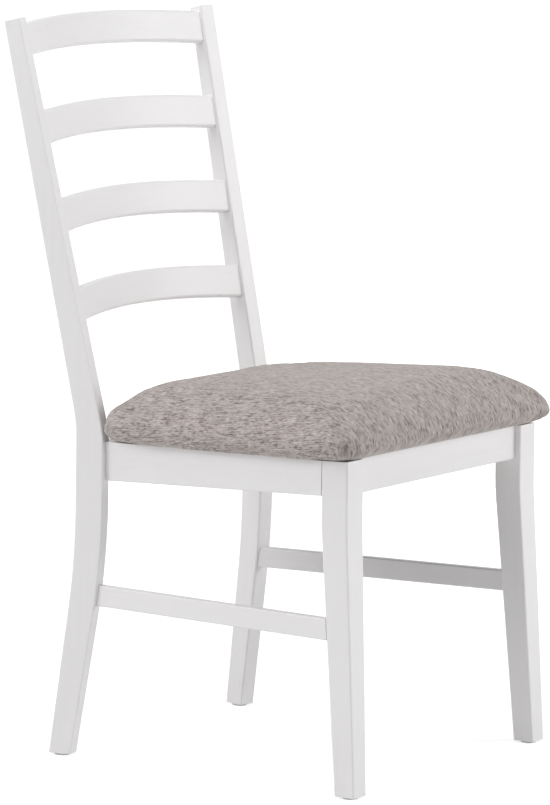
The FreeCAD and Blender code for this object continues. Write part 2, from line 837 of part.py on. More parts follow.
slats = {}
slat_mortises = []
rise = cos(radians(slat_rake))
slat_tenon_side = (size["SlatThickness"] - size["SlatTenonThickness"]) / 2
for row, slat_name in enumerate(("top_slat", "upper_slat", "lower_slat", "bottom_slat")):
    station = size["ChairHeight"] - size["TopSlatDrop"] - row * size["SlatPitch"]
    station -= size["SlatHeight"] / 2 * rise
    end = POST.multVec(Vector(-size["PostHalfWidth"], post_back_line(station), station))
    key = slat_name.split("_")[0].capitalize()
    place = about(ALONG_X, -slat_rake, Vector(0, end.y, end.z))
    board = slat_band(f"{slat_name}_board", f"{key}Board", end.x, 0, size["SlatThickness"], 0)
    round_edges(board, f"{slat_name}_edges", "SlatEdgeRadius", runs_along_slat)
    tongue = slat_band(
        f"{slat_name}_tongue",
        f"{key}Tongue",
        end.x,
        slat_tenon_side,
        size["SlatThickness"] - slat_tenon_side,
        size["SlatTenonShoulder"],
    )
    mortise = slat_band(
        f"{slat_name}_mortise",
        f"{key}Mortise",
        end.x,
        slat_tenon_side - size["JointClearance"],
        size["SlatThickness"] - slat_tenon_side + size["JointClearance"],
        size["SlatTenonShoulder"] - size["JointClearance"],
    )
    for band in (board, tongue, mortise):
        band.Placement = place
    slats[slat_name] = fused(
        slat_name,
        [
            cut_away(f"{slat_name}_shouldered", board, slat_shoulders),
            cut_away(f"{slat_name}_tenoned", tongue, slat_tenon_ends),
        ],
    )
    slat_mortises.append(cut_away(f"{slat_name}_mortise_end", mortise, [slat_mortise_end]))
doc.recompute()

# Corner blocks and their screws

keep("BlockScrewRadius", size["BlockScrewDiameter"] / 2)
keep("BlockScrewBoreRadius", size["BlockScrewRadius"] + size["JointClearance"])
keep("BlockScrewBoreLength", size["BlockScrewLength"] + size["JointEndGap"])
keep("BlockScrewHeadRadius", size["BlockScrewHead"] / 2)
keep("BlockSinkRadius", size["BlockScrewHeadRadius"] + size["ScrewHeadClearance"])
keep("SeatScrewRadius", size["SeatScrewDiameter"] / 2)
keep("SeatScrewBoreRadius", size["SeatScrewRadius"] + size["JointClearance"])
keep("SeatScrewBoreLength", size["SeatScrewLength"] + size["JointEndGap"])
keep("SeatScrewHeadRadius", size["SeatScrewHead"] / 2)
keep("SeatSinkRadius", size["SeatScrewHeadRadius"] + size["ScrewHeadClearance"])


def screw(name, kind, seat, axis):
    """A screw whose head bears at a point, the bore of its shank and the sinking for its head."""
    shank = rod(f"{name}_shank", f"{kind}ScrewRadius", f"{kind}ScrewLength", seat, axis)
    head_base = seat - axis * size["ScrewHeadHeight"]
    head = rod(f"{name}_head", f"{kind}ScrewHeadRadius", "ScrewHeadHeight", head_base, axis)
    bore = rod(f"{name}_bore", f"{kind}ScrewBoreRadius", f"{kind}ScrewBoreLength", seat, axis)
    sink = rod(f"{name}_sink", f"{kind}SinkRadius", "BlockReach", seat, -axis)
    return fused(name, [shank, head]), bore, sink


rail_square = -rail_inward
front_block_top = seat_at(size["LegDepth"] + size["FrontBlockReach"]) - size["BlockDrop"]
keep("FrontBlockLow", front_block_top - size["BlockHeight"])
keep("BackBlockLow", seat_at(back_rail_front) - size["BlockDrop"] - size["BlockHeight"])
keep("BlockReach", max(size["FrontBlockReach"], size["BackBlockReach"]))

front_arm = rail_side(size["LegDepth"] + size["FrontBlockReach"], size["RailThickness"])
keep("FrontBlockEnd", size["LegInner"] - size["FrontBlockReach"])
keep("FrontBlockArm", front_arm.x)
keep("FrontBlockArmDepth", front_arm.y)
front_block_blank = padded_outline(
    "front_block_blank",
    "XY_Plane",
    [
        ("FrontBlockEnd", "FrontRailRear"),
        ("LegInner", "FrontRailRear"),
        ("LegInner", "LegDepth"),
        ("SideRailStartInner", "LegDepth"),
        ("FrontBlockArm", "FrontBlockArmDepth"),
    ],
    "BlockHeight",
    lift="FrontBlockLow",
)

back_corner = rail_side(back_rail_front, size["RailThickness"])
back_arm = rail_side(back_rail_front - size["BackBlockReach"], size["RailThickness"])
keep("BackBlockCorner", back_corner.x)
keep("BackBlockArm", back_arm.x)
keep("BackBlockArmDepth", back_arm.y)
keep("BackBlockEnd", back_corner.x - size["BackBlockReach"])
back_block_blank = padded_outline(
    "back_block_blank",
    "XY_Plane",
    [
        ("BackBlockArm", "BackBlockArmDepth"),
        ("BackBlockCorner", "BackRailFront"),
        ("BackBlockEnd", "BackRailFront"),
    ],
    "BlockHeight",
    lift="BackBlockLow",
)

front_block_middle = size["FrontBlockLow"] + size["BlockHeight"] / 2
back_block_middle = size["BackBlockLow"] + size["BlockHeight"] / 2
grip = size["BlockGrip"]
block_screw_spots = {}
spot = rail_side(size["LegDepth"] + size["BlockScrewStation"], size["RailThickness"] + grip)
block_screw_spots["front_block_side"] = (spot + ALONG_Z * front_block_middle, rail_square)
block_screw_spots["front_block_front"] = (
    Vector(
        size["LegInner"] - size["BlockScrewStation"],
        size["FrontRailRear"] + grip,
        front_block_middle,
    ),
    -ALONG_Y,
)
spot = rail_side(back_rail_front - size["BlockScrewStation"], size["RailThickness"] + grip)
block_screw_spots["back_block_side"] = (spot + ALONG_Z * back_block_middle, rail_square)
block_screw_spots["back_block_back"] = (
    Vector(back_corner.x - size["BlockScrewStation"], back_rail_front - grip, back_block_middle),
    ALONG_Y,
)
block_screws = {
    name: screw(f"{name}_screw", "Block", seat, axis)
    for name, (seat, axis) in block_screw_spots.items()
}
seat_screws = {
    "front": screw(
        "front_seat_screw",
        "Seat",
        Vector(
            size["LegInner"] - size["FrontSeatScrewAside"],
            size["LegDepth"] + size["FrontSeatScrewBehind"],
            size["FrontBlockLow"] + size["SeatScrewSink"],
        ),
        ALONG_Z,
    ),
    "back": screw(
        "back_seat_screw",
        "Seat",
        Vector(
            back_corner.x - size["BackSeatScrewAside"],
            back_rail_front - size["BackSeatScrewAhead"],
            size["BackBlockLow"] + size["SeatScrewSink"],
        ),
        ALONG_Z,
    ),
}
seat_bores = [drilled for _, drilled, _ in seat_screws.values()]
seat_bores += [mirrored(f"{bore.Name}_right", bore) for bore in seat_bores]


def block(name, blank, corner):
    tools = [seat_screws[corner][1], seat_screws[corner][2]]
    for screw_name, (_, bore, sink) in block_screws.items():
        if screw_name.startswith(corner):
            tools += [bore, sink]
    return cut_away(name, blank, tools)


# Foot glides

under_feet = doc.addObject("Part::Box", "under_feet")
bound(under_feet, Length="ChairHeight", Width="ChairHeight", Height="SeatHeight")
under_feet.Placement = Placement(
    Vector(0, -size["ChairHeight"] / 4, size["GlideHeight"] - size["SeatHeight"]), Rotation()
)
keep("GlideTip", size["GlideHeight"] + size["GlidePinLength"])
keep("GlideBoreRadius", size["GlidePinRadius"] + size["JointClearance"])
keep("GlideBoreLength", size["GlidePinLength"] + size["JointEndGap"])


def glide(name, spot):
    """A nailed-on glide, turned about its own axis, and the hole for its pin."""
    body = doc.addObject("PartDesign::Body", name)
    sketch = new_sketch(body, f"{name}_outline", "XZ_Plane")
    draw_outline(
        sketch,
        [
            (0, 0),
            ("GlideRadius", 0),
            ("GlideRadius", "GlideHeight"),
            ("GlidePinRadius", "GlideHeight"),
            ("GlidePinRadius", "GlideTip"),
            (0, "GlideTip"),
        ],
    )
    turned = body.newObject("PartDesign::Revolution", f"{name}_turned")
    turned.Profile = sketch
    turned.ReferenceAxis = (sketch, ["V_Axis"])
    turned.Angle = 360
    doc.recompute()
    round_edges(body, f"{name}_ease", "GlideEase", lambda edge: spans(edge, 2, 0, 0))
    body.Placement = about(ALONG_Z, 0, spot)
    hole_base = spot + ALONG_Z * size["GlideHeight"]
    hole = rod(f"{name}_hole", "GlideBoreRadius", "GlideBoreLength", hole_base, ALONG_Z)
    return body, hole


leg_foot = Vector(
    (size["LegFootOuter"] + size["LegFootInner"]) / 2,
    (size["LegFootFront"] + size["LegFootRear"]) / 2,
    0,
)
post_foot = POST.multVec(Vector(0, (size["PostFootSweep"] + size["PostFootRear"]) / 2, 0))
post_foot.z = 0
front_glide, front_glide_hole = glide("front_glide_left", leg_foot)
back_glide, back_glide_hole = glide("back_glide_left", post_foot)

# Upholstered seat, drawn in a frame that slopes with the top of the seat frame

SEAT = about(ALONG_X, -size["SeatSlope"], Vector(0, 0, size["SeatHeight"]))
pad_back = size["PostStation"] - size["PadBackGap"]
rail_flare = -rail_run.x / rail_run.y
flare_length = hypot(1, rail_flare)


def seat_corners(key, out, back_out):
    """Corners of the seat outline moved outward, its back edge by an amount of its own."""
    front, back = -out, pad_back + back_out
    keep(f"{key}Front", front)
    keep(f"{key}Back", back)
    for edge, depth in (("Front", front), ("Back", back)):
        along = rail_start.x + (rail_start.y - depth) * rail_flare
        keep(f"{key}{edge}Half", along + out * flare_length)
    return [
        (f"-{key}FrontHalf", f"{key}Front"),
        (f"{key}FrontHalf", f"{key}Front"),
        (f"{key}BackHalf", f"{key}Back"),
        (f"-{key}BackHalf", f"{key}Back"),
    ]


def seat_plate(name, key, out, lift, thickness):
    """A flat plate with rounded corners, set on the slope of the seat."""
    body = doc.addObject("PartDesign::Body", name)
    sketch = new_sketch(body, f"{name}_outline", "XY_Plane", lift)
    rounded_outline(sketch, seat_corners(key, out, out), "BoardCorner")
    pad = body.newObject("PartDesign::Pad", f"{name}_pad")
    pad.Profile = sketch
    bound(pad, Length=thickness)
    body.Placement = SEAT
    doc.recompute()
    return body


keep("LiningLow", size["CoverThickness"] - size["LiningThickness"])
keep("TuckDepth", 2 * size["CoverThickness"])
keep("TuckLow", -size["CoverThickness"])
keep("TuckHeight", size["TuckDepth"] + size["CoverThickness"])
board_blank = seat_plate(
    "board_blank", "Board", -size["BoardInset"], "CoverThickness", "BoardThickness"
)
tuck_opening = seat_plate("tuck_opening", "Tuck", -size["CoverTuck"], "TuckLow", "TuckHeight")
lining_blank = seat_plate(
    "lining_blank", "Lining", -size["LiningInset"], "LiningLow", "LiningThickness"
)

# Section of the pad from its lower edge to its crown: share of its height, share of the
# bulge it stands out by, share of the way in to the crown, and its corner radius.
PAD_SECTION = [
    (0.000, 0.00, 0.000, 24),
    (0.064, 0.61, 0.000, 25),
    (0.180, 1.00, 0.000, 26),
    (0.320, 0.85, 0.000, 28),
    (0.488, 0.38, 0.000, 32),
    (0.641, 0.00, 0.052, 42),
    (0.770, 0.00, 0.145, 52),
    (0.872, 0.00, 0.288, 68),
    (0.949, 0.00, 0.635, 82),
    (1.000, 0.00, 1.000, 90),
]


def pad_sections(key, skin):
    """Sections of the cover, or of the foam one skin inside it."""
    sections = []
    for place, (level, swell, draw, corner) in enumerate(PAD_SECTION):
        side = between(-size["CoverEdge"], size["PadBulge"], swell)
        rear = min(side, size["PadBackBulge"])
        inward = draw * (size["PadCrownInset"] - size["CoverEdge"])
        height = between(skin, size["PadHeight"] - skin, level)
        keep(f"{key}Level{place + 1}", height)
        keep(f"{key}Corner{place + 1}", corner - skin)
        corners = seat_corners(f"{key}{place + 1}", side - inward - skin, rear - inward - skin)
        sections.append((f"{key}Level{place + 1}", corners, f"{key}Corner{place + 1}"))
    return sections


cover_form = lofted("cover_form", pad_sections("Cover", 0.0))
foam_form = lofted("foam_form", pad_sections("Foam", size["CoverThickness"]))
cover_form.Placement = SEAT
foam_form.Placement = SEAT

# The pieces of the chair

post = cut_away(
    "back_post_left",
    post_blank,
    slat_mortises
    + side_back_bores
    + back_bores
    + [stretcher_mortises, under_feet, back_glide_hole],
)
front_leg = cut_away(
    "front_leg_left",
    leg_blank,
    front_bores + side_front_bores + [stretcher_mortises, under_feet, front_glide_hole],
)
side_rail = cut_away(
    "side_rail_left",
    side_rail_blank,
    side_front_bores
    + side_back_bores
    + [block_screws["front_block_side"][1], block_screws["back_block_side"][1]],
)
front_rail_tools = front_bores + [block_screws["front_block_front"][1]]
back_rail_tools = back_bores + [block_screws["back_block_back"][1]]
front_rail = cut_away(
    "front_rail",
    front_rail_blank,
    front_rail_tools + [mirrored(f"{tool.Name}_right", tool) for tool in front_rail_tools],
)
back_rail = cut_away(
    "back_rail",
    back_rail_blank,
    back_rail_tools
    + [mirrored(f"{tool.Name}_right", tool) for tool in back_rail_tools]
    + slat_shoulders,
)
stretcher = fused("side_stretcher_left", [stretcher_body, stretcher_tenons])
front_block = block("front_corner_block_left", front_block_blank, "front")
back_block = block("back_corner_block_left", back_block_blank, "back")
side_dowels = gathered("side_rail_dowels_left", side_front_dowels + side_back_dowels)


def both_sides(name, members):
    half = gathered(f"{name}_left_half", members)
    return gathered(name, [half, mirrored(f"{name}_right_half", half)])


front_rail_dowels = both_sides("front_rail_dowels", front_dowels)
back_rail_dowels = both_sides("back_rail_dowels", back_dowels)
corner_block_screws = both_sides("corner_block_screws", [made for made, _, _ in block_screws.values()])
board_screws = both_sides("seat_screws", [made for made, _, _ in seat_screws.values()])

seat_board = cut_away("seat_board", board_blank, seat_bores)
seat_lining = cut_away("seat_lining", lining_blank, seat_bores)
seat_foam = cut_away("seat_foam", foam_form, [board_blank])
seat_cover = cut_away("seat_cover", cover_form, [foam_form, tuck_opening] + seat_bores)

left_pieces = [
    post,
    front_leg,
    side_rail,
    stretcher,
    front_block,
    back_block,
    side_dowels,
    front_glide,
    back_glide,
]
middle_pieces = [
    front_rail,
    back_rail,
    *slats.values(),
    front_rail_dowels,
    back_rail_dowels,
    corner_block_screws,
    board_screws,
    seat_board,
    seat_lining,
    seat_foam,
    seat_cover,
]
doc.recompute()

# The origin moves to the middle of the chair's depth.

extents = [piece.Shape.optimalBoundingBox() for piece in left_pieces + middle_pieces]
foremost = min(extent.YMin for extent in extents)
rearmost = max(extent.YMax for extent in extents)
CENTRE = Placement(Vector(0, -(foremost + rearmost) / 2, 0), Rotation())
for piece in left_pieces + middle_pieces:
    piece.Placement = CENTRE.multiply(piece.Placement)
right_pieces = [mirrored(piece.Name.replace("_left", "_right"), piece) for piece in left_pieces]
doc.recompute()

for made in doc.Objects:
    faults = {"Invalid", "Error"} & set(made.State)
    if faults:
        raise RuntimeError(f"{made.Label} did not build: {sorted(faults)}")
for piece in left_pieces + right_pieces + middle_pieces:
    if piece.Shape.isNull() or not piece.Shape.isValid():
        raise RuntimeError(f"{piece.Label} is not a sound solid")
    piece.Shape.exportStep(f"parts/{piece.Label}.step")
    print(piece.Label, round(piece.Shape.Volume), len(piece.Shape.Solids))
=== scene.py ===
import bpy
import numpy as np
from mathutils import Matrix, Vector


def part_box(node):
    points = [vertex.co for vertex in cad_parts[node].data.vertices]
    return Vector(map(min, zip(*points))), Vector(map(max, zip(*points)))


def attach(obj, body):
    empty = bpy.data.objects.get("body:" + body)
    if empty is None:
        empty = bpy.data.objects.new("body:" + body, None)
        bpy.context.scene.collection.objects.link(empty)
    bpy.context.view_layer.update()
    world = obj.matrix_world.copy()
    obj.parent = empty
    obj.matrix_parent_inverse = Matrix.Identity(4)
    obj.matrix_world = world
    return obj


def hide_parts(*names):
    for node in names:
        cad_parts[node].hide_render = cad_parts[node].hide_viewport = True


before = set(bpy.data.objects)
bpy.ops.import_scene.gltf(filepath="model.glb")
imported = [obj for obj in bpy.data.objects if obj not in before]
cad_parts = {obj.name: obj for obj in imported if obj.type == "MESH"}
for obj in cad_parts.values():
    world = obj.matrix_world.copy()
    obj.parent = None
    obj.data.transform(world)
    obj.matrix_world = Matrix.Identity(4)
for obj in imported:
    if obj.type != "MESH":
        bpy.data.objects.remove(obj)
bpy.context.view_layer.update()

# Ladderback dining chair: white painted frame and a grey-beige upholstered seat.
# Metres throughout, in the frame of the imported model: +Z up, the sitter faces -Y.


# Camera

PHOTO_WIDE = 550.0
PHOTO_TALL = 805.0
FOCAL_PIXELS = 5018.0
# The pixel that the lens looks at, across from the left and down from the top
AIM_ACROSS = 254.47
AIM_DOWN = 380.82
SENSOR_HEIGHT = 36.0
FAR_CLIP = 60.0
CAMERA_PLACE = (-5.4697, -3.5613, 1.3176)
CAMERA_RIGHT = (0.548760, -0.835915, 0.010451)
CAMERA_LOOK = (0.829954, 0.543264, -0.126652)


def place_camera():
    """The photograph's view, from in front of the sitter's right side, a little above the back's top."""
    right = Vector(CAMERA_RIGHT).normalized()
    look = Vector(CAMERA_LOOK).normalized()
    up = right.cross(look).normalized()
    turn = Matrix((right, up, -look)).transposed().to_4x4()
    data = bpy.data.cameras.new("camera")
    data.sensor_fit = "VERTICAL"
    data.sensor_height = SENSOR_HEIGHT
    data.lens = FOCAL_PIXELS / PHOTO_TALL * SENSOR_HEIGHT
    data.shift_x = (PHOTO_WIDE / 2 - AIM_ACROSS) / PHOTO_TALL
    data.shift_y = -(PHOTO_TALL / 2 - AIM_DOWN) / PHOTO_TALL
    data.clip_end = FAR_CLIP
    camera = bpy.data.objects.new("camera", data)
    bpy.context.scene.collection.objects.link(camera)
    camera.matrix_world = Matrix.Translation(Vector(CAMERA_PLACE)) @ turn
    bpy.context.scene.camera = camera


place_camera()


# Finishes: noise scales are features per metre, and relief is in metres

class Finish:
    """A new material with the few node steps that the finishes are made of."""

    def __init__(self, name):
        self.material = bpy.data.materials.new(name)
        self.material.use_nodes = True
        self.tree = self.material.node_tree
        self.shader = self.tree.nodes["Principled BSDF"]

    def add(self, kind, **settings):
        """A new node of this kind, with its settings."""
        node = self.tree.nodes.new(kind)
        for key, value in settings.items():
            setattr(node, key, value)
        return node

    def place(self):
        """The point on the piece, in the object's own metres."""
        return self.add("ShaderNodeTexCoord").outputs["Object"]

    def wire(self, source, target):
        self.tree.links.new(source, target)

    def scaled(self, source, scale, shift=(0.0, 0.0, 0.0)):
        """A vector stretched along each axis, then moved."""
        mapping = self.add("ShaderNodeMapping")
        mapping.inputs["Scale"].default_value = scale
        mapping.inputs["Location"].default_value = shift
        self.wire(source, mapping.inputs["Vector"])
        return mapping.outputs["Vector"]

    def noise(self, vector, scale, detail=2.0, roughness=0.5, distortion=0.0):
        """Soft random variation from 0 to 1."""
        node = self.add("ShaderNodeTexNoise")
        node.inputs["Scale"].default_value = scale
        node.inputs["Detail"].default_value = detail
        node.inputs["Roughness"].default_value = roughness
        node.inputs["Distortion"].default_value = distortion
        self.wire(vector, node.inputs["Vector"])
        return node.outputs["Fac"]

    def ramp(self, factor, stops):
        """A colour that runs through the stops as the factor rises."""
        node = self.add("ShaderNodeValToRGB")
        elements = node.color_ramp.elements
        while len(elements) < len(stops):
            elements.new(0.5)
        for element, (place, colour) in zip(elements, stops):
            element.position = place
            element.color = (*colour, 1.0)
        self.wire(factor, node.inputs["Fac"])
        return node.outputs["Color"]

    def between(self, factor, low, high):
        """The factor from 0 to 1, spread from low to high."""
        node = self.add("ShaderNodeMapRange")
        node.inputs["To Min"].default_value = low
        node.inputs["To Max"].default_value = high
        self.wire(factor, node.inputs["Value"])
        return node.outputs["Result"]

    def reckon(self, operation, first, second):
        """One step of arithmetic on two sources, of which the second may be a number."""
        node = self.add("ShaderNodeMath", operation=operation)
        self.wire(first, node.inputs[0])
        if isinstance(second, float):
            node.inputs[1].default_value = second
        else:
            self.wire(second, node.inputs[1])
        return node.outputs["Value"]

    def shares(self, *parts):
        """The sum of several sources, each with its share."""
        total = None
        for source, share in parts:
            part = self.reckon("MULTIPLY", source, share)
            total = part if total is None else self.reckon("ADD", total, part)
        return total

    def colour(self, source):
        self.wire(source, self.shader.inputs["Base Color"])

    def roughness(self, source, low, high):
        self.wire(self.between(source, low, high), self.shader.inputs["Roughness"])

    def relief(self, height, depth, strength):
        """Fine relief that the mesh doesn't have."""
        node = self.add("ShaderNodeBump")
        node.inputs["Strength"].default_value = strength
        node.inputs["Distance"].default_value = depth
        self.wire(height, node.inputs["Height"])
        self.wire(node.outputs["Normal"], self.shader.inputs["Normal"])


def srgb(code):
    """A colour written as its hex code, as the linear values that a shader takes."""
    parts = [int(code[i:i + 2], 16) / 255 for i in (1, 3, 5)]
    return tuple(p / 12.92 if p <= 0.04045 else ((p + 0.055) / 1.055) ** 2.4 for p in parts)


def drawn_out(axis_along, scale_along, scale_across):
    """A pattern's scale on the three axes where it is drawn out along one of them."""
    return [scale_along if axis == axis_along else scale_across for axis in range(3)]


PAINT_TINT = "#f5f3f3"
PAINT_GRAIN_ALONG = 7.0
PAINT_GRAIN_ACROSS = 190.0
PAINT_CLOUD = 6.0
PAINT_STIPPLE = 900.0
PAINT_DARKER = 0.975
PAINT_LIGHTER = 1.012
PAINT_RELIEF = 0.00005
COAT_WEIGHT = 0.1
COAT_ROUGHNESS = 0.35


def white_paint(name, along):
    """Satin white lacquer, rolled on over close-grained wood that only just shows along the piece."""
    made = Finish(name)
    place = made.place()
    stretched = drawn_out(along, PAINT_GRAIN_ALONG, PAINT_GRAIN_ACROSS)
    grain = made.noise(made.scaled(place, stretched), 1.0, detail=4.0)
    cloud = made.noise(place, PAINT_CLOUD, detail=3.0)
    stipple = made.noise(place, PAINT_STIPPLE)
    plain = srgb(PAINT_TINT)
    low = tuple(c * PAINT_DARKER for c in plain)
    high = tuple(min(1.0, c * PAINT_LIGHTER) for c in plain)
    tone = made.shares((grain, 0.35), (cloud, 0.65))
    made.colour(made.ramp(tone, ((0.35, low), (0.5, plain), (0.65, high))))
    made.roughness(cloud, 0.36, 0.46)
    made.relief(made.shares((grain, 0.5), (stipple, 0.5)), PAINT_RELIEF, 0.5)
    made.shader.inputs["Coat Weight"].default_value = COAT_WEIGHT
    made.shader.inputs["Coat Roughness"].default_value = COAT_ROUGHNESS
    return made.material


WOOD_GRAIN_ALONG = 4.0
WOOD_GRAIN_ACROSS = 70.0
PORES_TO_RINGS = 6
WOOD_RELIEF = 0.0001


def bare_wood(name, pale, dark, along):
    """Sanded unpainted wood with its growth rings drawn out along the piece."""
    made = Finish(name)
    place = made.place()
    stretched = drawn_out(along, WOOD_GRAIN_ALONG, WOOD_GRAIN_ACROSS)
    finer = [scale * PORES_TO_RINGS for scale in stretched]
    rings = made.noise(made.scaled(place, stretched), 1.0, detail=6.0, distortion=1.2)
    pores = made.noise(made.scaled(place, finer), 1.0)
    mixed = made.shares((rings, 0.75), (pores, 0.25))
    made.colour(made.ramp(mixed, ((0.3, srgb(dark)), (0.62, srgb(pale)))))
    made.roughness(pores, 0.5, 0.68)
    made.relief(mixed, WOOD_RELIEF, 0.5)
    return made.material


STEEL_MOTTLE = 300.0
STEEL_RELIEF = 0.00005


def plated_steel():
    """Dull bright zinc on the screws."""
    made = Finish("plated_steel")
    mottled = made.noise(made.place(), STEEL_MOTTLE, detail=3.0)
    made.colour(made.ramp(mottled, ((0.35, srgb("#9a9c9f")), (0.65, srgb("#c6c8c9")))))
    made.shader.inputs["Metallic"].default_value = 1.0
    made.roughness(mottled, 0.28, 0.45)
    made.relief(mottled, STEEL_RELIEF, 0.4)
    return made.material


NYLON_PITS = 2200.0
NYLON_CLOUD = 60.0
NYLON_RELIEF = 0.00004


def moulded_nylon():
    """Off-white moulded plastic with a finely pitted face, for the glides."""
    made = Finish("moulded_nylon")
    place = made.place()
    pitted = made.noise(place, NYLON_PITS)
    cloud = made.noise(place, NYLON_CLOUD)
    made.colour(made.ramp(cloud, ((0.3, srgb("#cfcfcb")), (0.7, srgb("#dededb")))))
    made.roughness(pitted, 0.42, 0.55)
    made.relief(pitted, NYLON_RELIEF, 0.5)
    return made.material


DUST_FIBRES = 1500.0
DUST_DOTS = 700.0
DUST_UNEVEN = 0.1
DUST_RELIEF = 0.0002


def dust_cloth():
    """Black non-woven cloth with its embossed dots."""
    made = Finish("dust_cloth")
    place = made.place()
    fibres = made.noise(made.scaled(place, (1.0, 1.0, 0.0)), DUST_FIBRES, detail=3.0)
    dots = made.add("ShaderNodeTexVoronoi", voronoi_dimensions="2D")
    dots.inputs["Scale"].default_value = DUST_DOTS
    dots.inputs["Randomness"].default_value = DUST_UNEVEN
    made.wire(place, dots.inputs["Vector"])
    made.colour(made.ramp(fibres, ((0.3, srgb("#1d1d1f")), (0.7, srgb("#34343a")))))
    made.roughness(fibres, 0.75, 0.95)
    made.relief(made.shares((dots.outputs["Distance"], 1.0), (fibres, 0.4)), DUST_RELIEF, 0.6)
    return made.material


# Each pattern of the chenille, per metre of flat cloth: across the threads and along them
CHENILLE_PATCHES = (55.0, 24.0, 1.0)
CHENILLE_FLECKS = (480.0, 150.0, 1.0)
CHENILLE_SLUBS = (230.0, 56.0, 1.0)
SLUBS_SHIFT = (7.0, 3.0, 0.0)
CHENILLE_RIBS = 95.0
RIBS_ALONG = 0.22
RIBS_WANDER = 2.2
RIBS_WANDER_SCALE = 1.4
CHENILLE_FUZZ = 2600.0
CHENILLE_TONES = (
    (0.35, srgb("#675d5a")),
    (0.43, srgb("#958a86")),
    (0.50, srgb("#b4aaa5")),
    (0.58, srgb("#c6bdb8")),
    (0.68, srgb("#dcd4cf")),
)
CHENILLE_ROUGHNESS = 0.92
CHENILLE_SHEEN = 0.22
CHENILLE_GLOSS = 0.2
CHENILLE_RELIEF = 0.0007


def chenille():
    """Slubby grey-beige chenille: fine ribs with short light and dark flecks along the thread."""
    made = Finish("chenille")
    cloth = made.add("ShaderNodeAttribute", attribute_name="laid").outputs["Vector"]
    patches = made.noise(made.scaled(cloth, CHENILLE_PATCHES), 1.0)
    waves = made.add("ShaderNodeTexWave", wave_type="BANDS", bands_direction="X")
    waves.inputs["Scale"].default_value = CHENILLE_RIBS
    waves.inputs["Distortion"].default_value = RIBS_WANDER
    waves.inputs["Detail"].default_value = 2.0
    waves.inputs["Detail Scale"].default_value = RIBS_WANDER_SCALE
    made.wire(made.scaled(cloth, (1.0, RIBS_ALONG, 1.0)), waves.inputs["Vector"])
    ribs = waves.outputs["Fac"]
    flecks = made.noise(made.scaled(cloth, CHENILLE_FLECKS), 1.0, roughness=0.6)
    slubs = made.noise(made.scaled(cloth, CHENILLE_SLUBS, SLUBS_SHIFT), 1.0)
    fuzz = made.noise(cloth, CHENILLE_FUZZ, roughness=0.7)
    tone = made.shares((flecks, 0.46), (slubs, 0.34), (ribs, 0.05), (fuzz, 0.05), (patches, 0.10))
    made.colour(made.ramp(tone, CHENILLE_TONES))
    made.shader.inputs["Roughness"].default_value = CHENILLE_ROUGHNESS
    made.shader.inputs["Sheen Weight"].default_value = CHENILLE_SHEEN
    made.shader.inputs["Sheen Roughness"].default_value = 0.5
    made.shader.inputs["Specular IOR Level"].default_value = CHENILLE_GLOSS
    pile = made.shares((ribs, 0.35), (slubs, 0.5), (flecks, 0.35), (fuzz, 0.12))
    made.relief(pile, CHENILLE_RELIEF, 0.7)
    return made.material


# Frame: every node but the cushion's keeps its mesh and gets its finish, with the grain along the piece

ACROSS = 0
FRONT_TO_BACK = 1
UPRIGHT = 2

paint_across = white_paint("paint_across", ACROSS)
paint_deep = white_paint("paint_deep", FRONT_TO_BACK)
paint_upright = white_paint("paint_upright", UPRIGHT)
block_wood = bare_wood("block_wood", "#dcc29a", "#c09a6b", ACROSS)
dowel_wood = bare_wood("dowel_wood", "#e2cba6", "#c8a677", FRONT_TO_BACK)
steel = plated_steel()
nylon = moulded_nylon()
upholstery = chenille()


def dress(node, material):
    """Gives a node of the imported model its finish."""
    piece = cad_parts[node]
    piece.data.materials.clear()
    piece.data.materials.append(material)


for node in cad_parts:
    if node.endswith("_slat") or node in ("front_rail", "back_rail"):
        dress(node, paint_across)
    elif node.startswith(("side_rail_left", "side_rail_right", "side_stretcher")):
        dress(node, paint_deep)
    elif node.startswith(("back_post", "front_leg")):
        dress(node, paint_upright)
    elif "corner_block" in node and "screws" not in node:
        dress(node, block_wood)
    elif "dowels" in node:
        dress(node, dowel_wood)
    elif "screws" in node:
        dress(node, steel)
    elif "glide" in node:
        dress(node, nylon)
dress("seat_board", bare_wood("seat_ply", "#d9bc8c", "#bb935d", ACROSS))
dress("seat_lining", dust_cloth())


# Upholstered seat: the tools that its steps share

def loose_copy(node):
    """A copy of a node with a mesh of its own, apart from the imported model."""
    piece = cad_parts[node].copy()
    piece.data = piece.data.copy()
    piece.parent = None
    for key in list(piece.keys()):
        del piece[key]
    bpy.context.scene.collection.objects.link(piece)
    return piece


def only(piece):
    """Selects this piece and nothing else."""
    bpy.ops.object.select_all(action="DESELECT")
    piece.select_set(True)
    bpy.context.view_layer.objects.active = piece


def apply_all(piece):
    """Applies the piece's modifiers in their order."""
    only(piece)
    for modifier in list(piece.modifiers):
        bpy.ops.object.modifier_apply(modifier=modifier.name)


def points_of(mesh):
    flat = np.empty(len(mesh.vertices) * 3)
    mesh.vertices.foreach_get("co", flat)
    return flat.reshape(-1, 3)


def set_points(mesh, points):
    mesh.vertices.foreach_set("co", points.reshape(-1))
    mesh.update()


def normals_of(mesh):
    flat = np.empty(len(mesh.vertices) * 3)
    mesh.vertices.foreach_get("normal", flat)
    return flat.reshape(-1, 3)


def edges_of(mesh):
    flat = np.empty(len(mesh.edges) * 2, dtype=np.int32)
    mesh.edges.foreach_get("vertices", flat)
    return flat.reshape(-1, 2)


